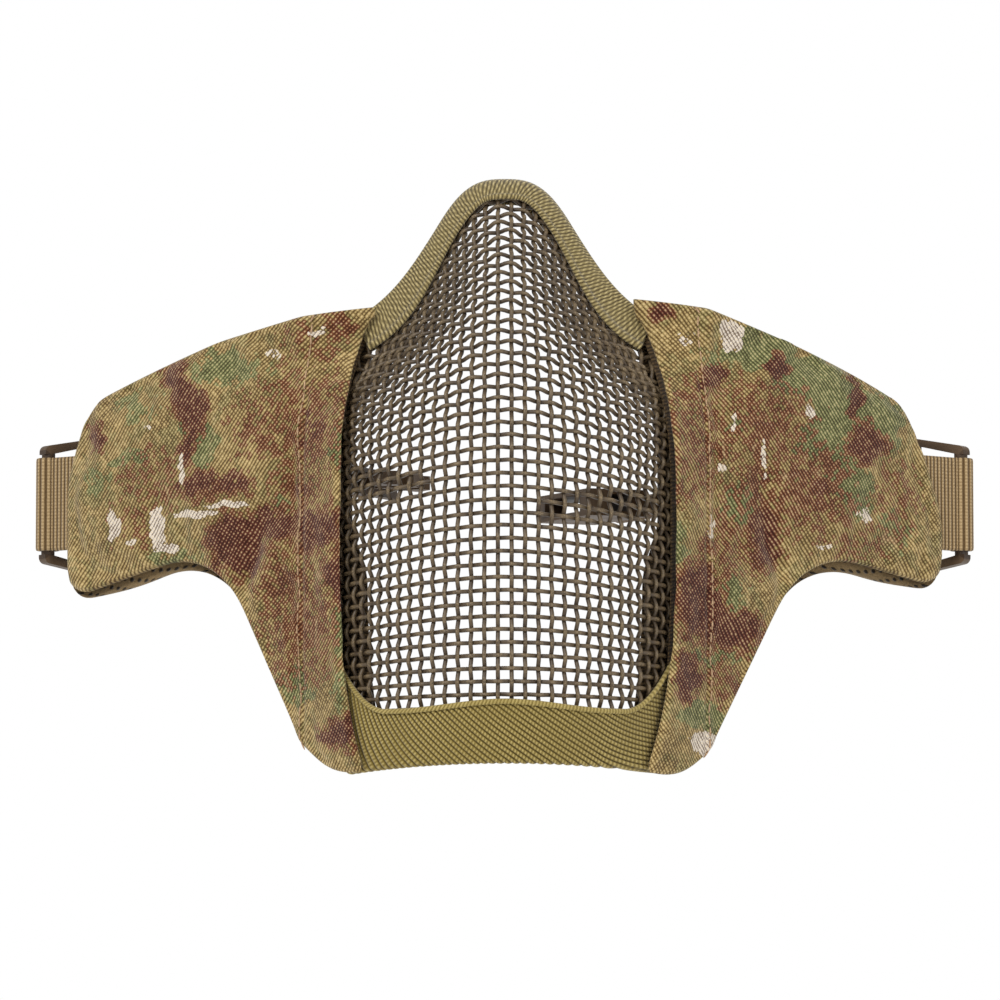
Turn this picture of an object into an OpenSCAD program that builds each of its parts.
// Half-face mask: a formed wire-cloth screen over nose and mouth, two padded wings that
// fold at the screen's side edges, and a split head strap folded away behind the wings.
// X runs across the face, with the wearer's left at +X. The front faces -Y and Z is up.
// The origin lies in the plane of the face opening, at the height of the mouth line.

/* [Screen] */
// Height of the nose bridge above the mouth line
nose_top = 80.8; // [66:0.2:98]
// Depth of the chin edge below the mouth line
chin_drop = 70.7; // [60:0.1:88]
// How far the screen's curve runs on past the wings' front edges
curve_over = 5.2; // [4:0.1:7]
// How far the screen stands in front of the face opening
screen_depth = 38; // [30:0.5:46]
// How far the nose bridge leans back from the front of the screen
nose_lean = 48; // [38:0.5:58]
// Roundness of the screen's cross-section, from flat to a full half circle
curl = 0.85; // [0.6:0.01:0.92]
// Half width of the ridge at the bridge of the nose
ridge_half = 11; // [9:0.5:14]
// Height at which the ridge is half as wide as the cheeks
ridge_height = 50; // [42:0.5:60]
// Thickness of the woven wire cloth over its crossings
screen_t = 1.8; // [1.5:0.1:2.4]

/* [Nose outline] */
// Height where the nose outline runs out on the cheeks
cheek_z = 35; // [29:0.5:40]
// Half width of the nose outline half way up
nose_half = 23.5; // [19.5:0.5:28]

/* [Bindings] */
// Width of the nose tape on the front, seen from the front
nose_tape_w = 5.5; // [4.5:0.1:7]
// Height of the ribbed chin band at the middle
chin_band_h = 14.2; // [12:0.1:18]
// Rise of the chin band's ends beside the wings
chin_rise = 19; // [14:0.5:22]
// Thickness of every folded tape
tape_t = 0.8; // [0.6:0.1:1.2]
// Depth of the fold behind the screen
tape_back = 7; // [5.5:0.5:9]

/* [Wings] */
// Half width of the opening between the wings' front edges
edge_half = 40.8; // [34:0.2:49]
// Distance from the front edge out to the sewn fold line
fold_out = 11.5; // [10:0.5:14]
// Length of a wing from its fold line to its end
wing_len = 82; // [68:0.5:100]
// Height of the wing's end strip above the mouth line
end_top = 24; // [20:0.5:29]
// Depth of the wing's end strip below the mouth line
end_drop = 26; // [22:0.5:32]
// How far the top of the end leans in over its foot
end_lean = 6; // [0:0.5:8]
// Angle between a wing and the plane of the face opening
wing_angle = 38; // [30:0.5:45]
// Turn of a wing along its length
wing_bend = 6; // [2:0.5:12]
// Thickness of the foam in a wing
foam_t = 3; // [2.4:0.1:4]
// Thickness of the printed outer cloth
cover_t = 1; // [0.8:0.1:1.4]
// Thickness of the spacer-mesh lining
lining_t = 1; // [0.8:0.1:1.4]

/* [Strap] */
// Width of the webbing and of the elastic strap
strap_w = 25; // [20:0.5:30]
// Thickness of one layer of webbing
webbing_t = 1.2; // [1:0.1:1.5]
// Thickness of the doubled elastic strap
strap_t = 2.6; // [2.1:0.1:3.2]
// Length of the strap half on the wearer's left
left_strap_len = 83; // [68:1:90]
// Length of the strap half on the wearer's right
right_strap_len = 75; // [68:1:90]
// Angle of the folded strap from the plane of the face opening
strap_angle = 24; // [20:1:28]

/* [Ring] */
// Radius of the ring's bars
bar_r = 1.8; // [1.5:0.1:2.2]
// Distance between the ring's two bars, centre to centre
ring_len = 14; // [12:0.5:17]
// Room beside the webbing and the strap in the ring
ring_play = 1; // [0.5:0.1:2]
// Extra half height of the ring at the strap's bar
ring_flare = 3.2; // [2:0.1:5]
// Direction of the folded ring behind the wing, from +X
ring_angle = 147; // [140:1:155]
// Distance from the wing's end to the ring's first bar
tab_len = 8; // [7:0.5:11]

/* [Buckle] */
// Width of the buckle's cheek beside the strap, on each side
buckle_cheek = 3.5; // [3:0.1:4.5]
// Length of the buckle's body beyond its strap slot
buckle_len = 17; // [15:0.5:20]
// Thickness of the buckle
buckle_t = 7; // [6:0.1:8.5]
// Wall round the buckle's pocket
buckle_wall = 1.3; // [1:0.1:1.6]

/* [Hidden] */
$fn = 48;

olive = "#857344";
khaki = "#8c7a50";
wire_tan = "#7d6c50";
brown = "#4f3c2c";
lining_tan = "#8a7454";

face_half = edge_half + curve_over;
gap = 0.15;                        // between pieces that are sewn together
tape_gap = 0.4;                    // between a folded tape and the wire cloth inside it
clear = 0.5;                       // between a bar and the loop that turns on it
side_y = 12;                       // how far the cheek edge sits back at the bridge
hem_cover = 3;                     // the hem hides this much of the screen's edge
edge_z = 46;                       // height at which the front edge meets the nose
edge_in_top = 9;                   // how far the front edge turns in at the nose
edge_in_low = 5.5;                 // and at the chin
hinge_y = -1.5;
wing_t = cover_t + foam_t + lining_t;
fold_gap = wing_t / 2 + 0.4;       // the hem stops this far before the fold line
hinge = [edge_half + fold_out, hinge_y];

function clamp01(t) = max(0, min(1, t));
function smooth(t) = let (c = clamp01(t)) c * c * (3 - 2 * c);
function unit(v) = v / norm(v);
function mix(a, b, t) = a + (b - a) * t;

// ---- the screen as a height field over the plane of the face opening

// Half width of the curved part at height z: the cheeks narrow to the ridge of the nose
function section_half(z) =
  ridge_half + (face_half - ridge_half) / (1 + pow(max(z, 0) / ridge_height, 4));
// The middle line: upright over mouth and chin, leaning back over the nose
function ridge_y(z) =
  z > 0 ? -screen_depth + nose_lean * pow(z / nose_top, 1.9)
        : -screen_depth + 0.006 * pow(max(0, -z - 45), 2);
function cheek_y(z) = side_y * pow(max(z, 0) / nose_top, 2);
function round_arc(t) = (1 - sqrt(1 - curl * t * t)) / (1 - sqrt(1 - curl));
function ridge_arc(t) = (1 - cos(180 * t)) / 2;
function screen_y(x, z) =
  let (t = min(1, abs(x) / section_half(z)), w = smooth((z - 5) / 45),
       arc = mix(round_arc(t), ridge_arc(t), w))
  ridge_y(z) + (cheek_y(z) - ridge_y(z)) * arc;
function screen_normal(x, z) =
  let (e = 0.2,
       sx = (screen_y(x + e, z) - screen_y(x - e, z)) / (2 * e),
       sz = (screen_y(x, z + e) - screen_y(x, z - e)) / (2 * e))
  unit([sx, -1, sz]);
// A point d in front of the screen's middle surface
function off_screen(x, z, d) = [x, screen_y(x, z), z] + d * screen_normal(x, z);

// ---- outlines, seen from the front

function front_edge(z) =
  edge_half - edge_in_top * pow(clamp01(z / edge_z), 2.2)
            - edge_in_low * pow(clamp01(-z / chin_drop), 4);
function screen_side(z) = front_edge(z) + hem_cover;
function screen_top(x) =
  cheek_z + (nose_top - cheek_z) / (1 + pow(abs(x) / nose_half, 3.1));
function screen_bottom(x) = -chin_drop - 2.5 * pow(x / edge_half, 2);
function band_top(x) =
  -chin_drop + chin_band_h - 2.2 * smooth(abs(x) / (edge_half * 0.64))
  + chin_rise * pow(clamp01((abs(x) / edge_half - 0.71) / 0.36), 1.9);

// ---- solids from rows of thin closed sections

function quad(a, b, c, d) = [[a, b, c], [a, c, d]];
function strip_faces(rings, n) = [
  for (i = [0:rings - 2], j = [0:n - 1])
    each quad(i * n + j, i * n + (j + 1) % n, (i + 1) * n + (j + 1) % n, (i + 1) * n + j),
  for (j = [0:n / 2 - 2]) each quad(n - 1 - j, n - 2 - j, j + 1, j),
  for (j = [0:n / 2 - 2])
    let (o = (rings - 1) * n) each quad(o + j, o + j + 1, o + n - 2 - j, o + n - 1 - j)
];
module strip_solid(sections) {
  n = len(sections[0]);
  polyhedron(points = [for (s = sections) each s], faces = strip_faces(len(sections), n));
}

// ---- outlines with round corners: each point is [x, y, corner radius]

function corner(a, b, c, steps) =
  let (v1 = unit([a.x - b.x, a.y - b.y]), v2 = unit([c.x - b.x, c.y - b.y]),
       half = acos(v1 * v2) / 2, r = b.z, p = [b.x, b.y],
       mid = p + unit(v1 + v2) * r / sin(half),
       p1 = p + v1 * r / tan(half), p2 = p + v2 * r / tan(half),
       a1 = atan2(p1.y - mid.y, p1.x - mid.x), a2 = atan2(p2.y - mid.y, p2.x - mid.x),
       turn = (a2 - a1 + 540) % 360 - 180)
  [for (i = [0:steps]) mid + r * [cos(a1 + turn * i / steps), sin(a1 + turn * i / steps)]];
function rounded(pts) =
  let (n = len(pts))
  [for (i = [0:n - 1]) let (p = pts[i])
    each (p.z == 0 ? [[p.x, p.y]] : corner(pts[(i + n - 1) % n], p, pts[(i + 1) % n], 8))];

module at_side(side) {
  if (side > 0) children(); else mirror([1, 0, 0]) children();
}

// ---- front unit

module mesh_screen() {
  columns = 28;
  rows = 22;
  color(wire_tan) strip_solid([
    for (i = [0:columns]) let (
      u = 2 * i / columns - 1,
      top = screen_top(u * screen_side(edge_z)),
      low = screen_bottom(u * screen_side(-chin_drop)),
      z = [for (j = [0:rows]) mix(low, top, j / rows)])
    [
      for (j = [0:rows]) off_screen(u * screen_side(z[j]), z[j], screen_t / 2),
      for (j = [rows:-1:0]) off_screen(u * screen_side(z[j]), z[j], -screen_t / 2)
    ]
  ]);
}

// A tape folded over the screen's edge at p, running to q on the front.
// reach is the depth of its back leg.
leg_steps = 3;
function folded_tape(p, q, reach) =
  let (d = unit(q - p), inner = screen_t / 2 + tape_gap, outer = inner + tape_t,
       lip = p - d * gap, edge = p - d * (gap + tape_t), back = p + d * reach)
  [
    for (k = [0:leg_steps]) tape_point(q, edge, k, outer),
    for (k = [0:leg_steps]) tape_point(edge, back, k, -outer),
    for (k = [0:leg_steps]) tape_point(back, lip, k, -inner),
    for (k = [0:leg_steps]) tape_point(lip, q, k, inner)
  ];
function tape_point(a, b, k, d) =
  let (p = mix(a, b, k / leg_steps)) off_screen(p.x, p.y, d);

module nose_binding() {
  steps = 40;
  half = screen_side(edge_z);
  color(olive) strip_solid([
    for (i = [0:steps]) let (
      x = half * (2 * i / steps - 1),
      p = [x, screen_top(x)],
      along = unit([0.4, screen_top(x + 0.2) - screen_top(x - 0.2)]),
      q = p + nose_tape_w * [along.y, -along.x])
    folded_tape(p, q, tape_back * 0.7)
  ]);
}

module chin_band() {
  steps = 32;
  half = screen_side(-chin_drop + chin_band_h);
  color(olive) strip_solid([
    for (i = [0:steps]) let (
      u = 2 * i / steps - 1,
      x = u * screen_side(-chin_drop),
      p = [x, screen_bottom(x)],
      q = [u * half, band_top(u * half)])
    folded_tape(p, q, tape_back)
  ]);
}

module side_binding(side) {
  steps = 24;
  low = band_top(edge_half) + 1.5;
  high = screen_top(screen_side(edge_z)) - nose_tape_w - 3;
  color(brown) at_side(side) strip_solid([
    for (i = [0:steps]) let (
      z = mix(high, low, i / steps),
      p = [screen_side(z), z],
      q = [screen_side(z) - hem_cover + 0.5, z])
    folded_tape(p, q, tape_back)
  ]);
}

// Cloth turned over the screen's edge and sewn down along the fold line
module front_hem(side) {
  steps = 22;
  seat = screen_t / 2 + tape_gap + tape_t + 0.8;
  hem_t = 2.4;
  along = [cos(wing_angle), sin(wing_angle)];
  across = [sin(wing_angle), -cos(wing_angle)];
  rear = hinge - fold_gap * along;
  color(khaki) at_side(side) strip_solid([
    for (i = [0:steps]) let (
      z = mix(edge_z + 2, -chin_drop - 1.5, i / steps),
      x = front_edge(z),
      back_z = mix(wing_top(-fold_gap), wing_low(0) - 2, i / steps),
      out = rear + across * wing_t / 2,
      in = rear - across * wing_t / 2)
    [
      off_screen(x, z, seat + hem_t), [out.x, out.y, back_z],
      [in.x, in.y, back_z], off_screen(x, z, seat)
    ]
  ]);
}

// ---- wings

wing_r = wing_len / (wing_bend * PI / 180);
wing_start = wing_angle - wing_bend / 2;
wing_centre = hinge - wing_r * [sin(wing_start), -cos(wing_start)];

// Straight parts of the wing's upper and lower edges beside the fold line
function wing_top(s) = edge_z - 0.2 * s;
function wing_low(s) = -chin_drop + 6.2 + 1.75 * s;
// The outline along the wing's length, from the fold line to the end strip
wing_outline = rounded([
  [0, wing_top(0), 0],
  [wing_len * 0.34, wing_top(wing_len * 0.34), 70],
  [wing_len - end_lean, end_top, 15],
  [wing_len, -end_drop, 7],
  [wing_len * 0.34, -end_drop + 9.5, 18],
  [0, wing_low(0), 0]
]);

// Runs children along the wing's mean direction from the fold line
module in_wing() {
  translate([hinge.x, hinge.y, 0]) rotate([0, 0, wing_angle]) children();
}
// One layer of the wing, from depth a to depth b inside its outer face
module wing_layer(a, b) {
  outer = wing_r + wing_t / 2;
  intersection() {
    in_wing() rotate([90, 0, 0]) translate([0, 0, -30]) linear_extrude(60)
      polygon(wing_outline);
    translate([wing_centre.x, wing_centre.y, -chin_drop - 10]) difference() {
      cylinder(h = chin_drop + nose_top + 20, r = outer - a, $fn = 96);
      translate([0, 0, -1]) cylinder(h = chin_drop + nose_top + 22, r = outer - b, $fn = 96);
    }
  }
}
// Room in the foam for the sewn end of the webbing
tab_sewn = 13;
module tab_pocket(grow) {
  in_wing() translate([wing_len - tab_sewn - grow, -10, -strap_w / 2 - grow])
    cube([tab_sewn + 20, 20, strap_w + 2 * grow]);
}

module wing_cover(side) { color(khaki) at_side(side) wing_layer(0, cover_t); }
module wing_foam(side) {
  color("#55523f") at_side(side) difference() {
    wing_layer(cover_t, cover_t + foam_t);
    tab_pocket(gap);
  }
}
module wing_lining(side) {
  color(lining_tan) at_side(side) wing_layer(cover_t + foam_t, wing_t);
}

// ---- webbing loop and ring

end_dir = [cos(wing_angle + wing_bend / 2), sin(wing_angle + wing_bend / 2)];
wing_end = wing_centre + wing_r * [end_dir.y, -end_dir.x];
ring_bar = wing_end + tab_len * end_dir;
strap_bar = ring_bar + ring_len * [cos(ring_angle), sin(ring_angle)];
loop_in = bar_r + clear;

// A round loop on a bar along Z at the origin, with a flat double leg along +X
module flat_loop(leg_from, leg_to, leg_t, wall) {
  difference() {
    union() {
      cylinder(h = strap_w, r = loop_in + wall, center = true);
      translate([leg_from, -leg_t / 2, -strap_w / 2]) cube([leg_to - leg_from, leg_t, strap_w]);
    }
    cylinder(h = strap_w + 2, r = loop_in, center = true);
  }
}
module webbing_loop(side) {
  color(khaki) at_side(side) translate([ring_bar.x, ring_bar.y, 0])
    rotate([0, 0, wing_angle + wing_bend / 2 + 180])
    flat_loop(0, tab_len + tab_sewn - 1, min(2 * webbing_t, foam_t - 2 * gap), webbing_t);
}

// Flat moulded loop: a short bar for the webbing and a longer one for the strap
module strap_ring(side) {
  near = strap_w / 2 + ring_play;
  far = near + ring_flare;
  arm = 2.2;
  color(brown) at_side(side) translate([ring_bar.x, ring_bar.y, 0]) rotate([0, 0, ring_angle]) {
    cylinder(h = 2 * near + arm, r = bar_r, center = true);
    translate([ring_len, 0, 0]) cylinder(h = 2 * far + arm, r = bar_r, center = true);
    for (up = [0, 1]) mirror([0, 0, up]) rotate([90, 0, 0])
      translate([0, 0, -bar_r]) linear_extrude(2 * bar_r)
      polygon(rounded([
        [-bar_r, near, 0], [0, near, 0], [ring_len, far, 0], [ring_len + bar_r, far, 0],
        [ring_len + bar_r, far + arm, 1.8], [-bar_r, near + arm, 1.8]
      ]));
  }
}

// ---- strap halves, keepers and buckle, in a frame that runs along the folded strap

module along_strap(side) {
  at_side(side) translate([strap_bar.x, strap_bar.y, 0])
    rotate([0, 0, 180 + strap_angle]) children();
}
function strap_len(side) = side > 0 ? left_strap_len : right_strap_len;
// Height of the strap's free end above its ring end
function end_rise(side) = side > 0 ? -3 : 4;
twist_len = 30;
loop_wall = 1.5;

module strap(side) {
  len = strap_len(side);
  rings = 14;
  from = loop_in + loop_wall / 2;
  function turn(x) = smooth((x - (len - twist_len - 4)) / twist_len);
  color(lining_tan) along_strap(side) {
    difference() {
      cylinder(h = strap_w, r = loop_in + loop_wall, center = true);
      cylinder(h = strap_w + 2, r = loop_in, center = true);
    }
    strip_solid([
      for (i = [0:rings]) let (
        x = mix(from, len - from, i / rings), a = 90 * turn(x),
        w = strap_w / 2 * [-sin(a), cos(a)], t = strap_t / 2 * [cos(a), sin(a)],
        c = [0, end_rise(side) * turn(x)])
      [for (k = [[1, 1], [-1, 1], [-1, -1], [1, -1]]) let (p = c + k[0] * w + k[1] * t)
        [x, p.x, p.y]]
    ]);
    translate([len, 0, end_rise(side)]) rotate([90, 0, 0]) difference() {
      cylinder(h = strap_w, r = loop_in + loop_wall, center = true);
      cylinder(h = strap_w + 2, r = loop_in, center = true);
    }
  }
}

// Moulded keeper that slides along the flat part of the strap
keeper_at = 22;
keeper_play = 0.5;
module strap_keeper(side) {
  rim = 1.8;
  keeper_len = 7;
  window = [keeper_len + 2, strap_t + 2 * keeper_play, strap_w + 2 * keeper_play];
  color(brown) along_strap(side) translate([keeper_at, 0, 0]) difference() {
    cube([keeper_len, window.y + 2 * rim, window.z + 2 * rim], center = true);
    cube(window, center = true);
  }
}

// The strap bar and its two arms, shared by both halves of the buckle
slot = loop_in + loop_wall + 1.4;
buckle_w = strap_w + 2 * buckle_cheek;
module buckle_bar() {
  arm = buckle_cheek - ring_play;
  rotate([90, 0, 0]) cylinder(h = buckle_w - 2 * arm + 1, r = bar_r, center = true);
  for (y = [-1, 1]) translate([0, y * (buckle_w / 2 - arm / 2) - arm / 2, -bar_r])
    cube([slot + 1, arm, 2 * bar_r]);
}
module at_strap_end(side) {
  along_strap(side) translate([strap_len(side), 0, end_rise(side)]) children();
}
pocket_w = buckle_w - 10;
module buckle_socket() {
  body = [buckle_len, buckle_w, buckle_t];
  pocket_t = buckle_t - 2 * buckle_wall;
  color(brown) at_strap_end(1) {
    buckle_bar();
    translate([slot, 0, 0]) difference() {
      translate([0, -body.y / 2, -body.z / 2]) cube(body);
      translate([2.5, -pocket_w / 2, -pocket_t / 2]) cube([buckle_len, pocket_w, pocket_t]);
      translate([4.5, -buckle_w / 2 - 1, -pocket_t / 2]) cube([6.5, buckle_w + 2, pocket_t]);
    }
  }
}
module buckle_plug() {
  tongue_t = buckle_t - 2 * buckle_wall - 0.8;
  reach = buckle_len - 3;
  color(brown) at_strap_end(-1) {
    buckle_bar();
    translate([slot, -buckle_w / 2, -buckle_t / 2]) cube([3, buckle_w, buckle_t]);
    translate([slot + 2, -1.8, -tongue_t / 2]) cube([reach, 3.6, tongue_t]);
    for (up = [0, 1]) mirror([0, up, 0]) translate([slot, 0, -tongue_t / 2])
      linear_extrude(tongue_t) polygon(rounded([
        [2, pocket_w / 2 - 4.2, 0], [reach, pocket_w / 2 - 4.6, 1],
        [reach + 2, pocket_w / 2 - 1.5, 1.2], [reach - 4.5, buckle_w / 2 - 1, 0.8],
        [reach - 5.5, pocket_w / 2 - 1.4, 0], [2, pocket_w / 2 - 1.6, 0]
      ]));
  }
}

mesh_screen();
nose_binding();
chin_band();
side_binding(1);  // left_side_binding
side_binding(-1);  // right_side_binding
front_hem(1);  // left_front_hem
front_hem(-1);  // right_front_hem
wing_cover(1);  // left_wing_cover
wing_cover(-1);  // right_wing_cover
wing_foam(1);  // left_wing_foam
wing_foam(-1);  // right_wing_foam
wing_lining(1);  // left_wing_lining
wing_lining(-1);  // right_wing_lining
webbing_loop(1);  // left_webbing_loop
webbing_loop(-1);  // right_webbing_loop
strap_ring(1);  // left_strap_ring
strap_ring(-1);  // right_strap_ring
strap(1);  // left_strap
strap(-1);  // right_strap
strap_keeper(1);  // left_strap_keeper
strap_keeper(-1);  // right_strap_keeper
buckle_socket();  // left_buckle_socket
buckle_plug();  // right_buckle_plug
